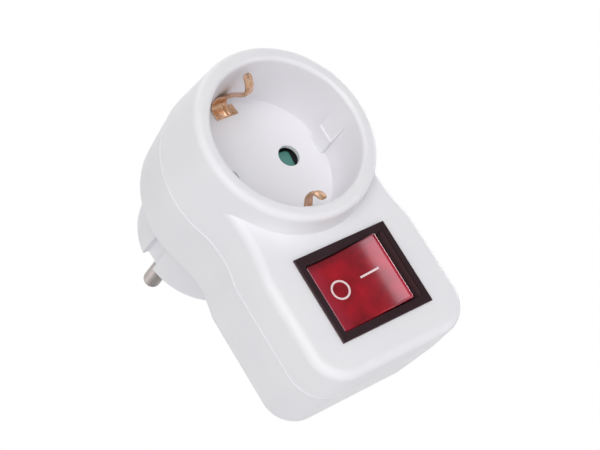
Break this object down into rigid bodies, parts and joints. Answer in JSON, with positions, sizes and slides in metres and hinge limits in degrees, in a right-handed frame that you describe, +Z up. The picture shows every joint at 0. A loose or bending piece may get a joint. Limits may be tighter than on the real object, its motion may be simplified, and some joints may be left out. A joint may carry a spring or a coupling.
{
  "type": "switched plug adapter",
  "caption": "Plug-in mains adapter: a round earthed socket in front of a plug body with pins, and a rocker switch with a lamp in the housing below.",
  "frame": {"origin": "on the common axis of plug and socket, in the plug body's contact face, from which the pins stand out", "axes": "+Y along the pins into the wall, +Z up, so that the switch hangs below the socket, +X to the right as seen by the user facing the socket"},
  "size_m": [0.0514, 0.077, 0.0846],
  "materials": {
    "white_plastic": "smooth, moderately glossy",
    "black_plastic": "finely textured",
    "red_plastic": "glossy, slightly translucent",
    "white_print": "printed layer",
    "green_plastic": "smooth",
    "dark_plastic": "smooth",
    "natural_plastic": "smooth",
    "nickel": "nickel-plated, satin",
    "nickel_strip": "nickel-plated strip",
    "copper": "bare copper alloy strip",
    "brass": "stamped",
    "steel": "zinc-plated",
    "lamp_glass": "clear",
    "resistor_body": "lacquered",
    "brown_insulation": "smooth",
    "blue_insulation": "smooth"
  },
  "bodies": {
    "housing": {"front_shell": "white_plastic", "rear_shell": "white_plastic", "plug_pin_left": "nickel", "plug_pin_right": "nickel", "socket_contact_left": "brass", "socket_contact_right": "brass", "socket_earth_clip_upper": "copper", "socket_earth_clip_lower": "copper", "plug_earth_clip_upper": "nickel_strip", "plug_earth_clip_lower": "nickel_strip", "earth_strap": "brass", "contact_carrier": "dark_plastic", "shutter_spring": "steel", "switch_frame": "black_plastic", "terminal_common_upper": "brass", "terminal_common_lower": "brass", "terminal_output_upper": "brass", "terminal_output_lower": "brass", "neon_lamp": "lamp_glass", "lamp_resistor": "resistor_body", "lamp_leads": "steel", "wire_pin_left": "brown_insulation", "wire_pin_right": "blue_insulation", "wire_socket_left": "brown_insulation", "wire_socket_right": "blue_insulation", "housing_screws": "steel"},
    "rocker": {"rocker": "red_plastic", "rocker_legend": "white_print", "plunger_upper": "natural_plastic", "plunger_lower": "natural_plastic", "plunger_spring_upper": "steel", "plunger_spring_lower": "steel"},
    "contact_lever_upper": {"contact_lever_upper": "copper"},
    "contact_lever_lower": {"contact_lever_lower": "copper"},
    "shutter": {"shutter": "green_plastic"}
  },
  "joints": [
    {"name": "rocker_turn", "type": "hinge", "parent": "housing", "child": "rocker", "pos_m": [0, -0.044, -0.03925], "axis": [0, 0, 1], "range_deg": [0, 22.6]},
    {"name": "contact_lever_upper_rock", "type": "hinge", "parent": "housing", "child": "contact_lever_upper", "pos_m": [0, -0.0382, -0.03425], "axis": [0, 0, 1], "range_deg": [-16, 0]},
    {"name": "contact_lever_lower_rock", "type": "hinge", "parent": "housing", "child": "contact_lever_lower", "pos_m": [0, -0.0382, -0.04425], "axis": [0, 0, 1], "range_deg": [-16, 0]},
    {"name": "shutter_turn", "type": "hinge", "parent": "housing", "child": "shutter", "pos_m": [0, -0.036, 0], "axis": [0, 1, 0], "range_deg": [0, 35], "stiffness_Nm_per_rad": 0.0005, "springref_deg": -11.46}
  ],
  "couplings": [
    {"joint": "contact_lever_upper_rock", "follows": "rocker_turn", "ratio": -0.70796},
    {"joint": "contact_lever_lower_rock", "follows": "rocker_turn", "ratio": -0.70796}
  ]
}
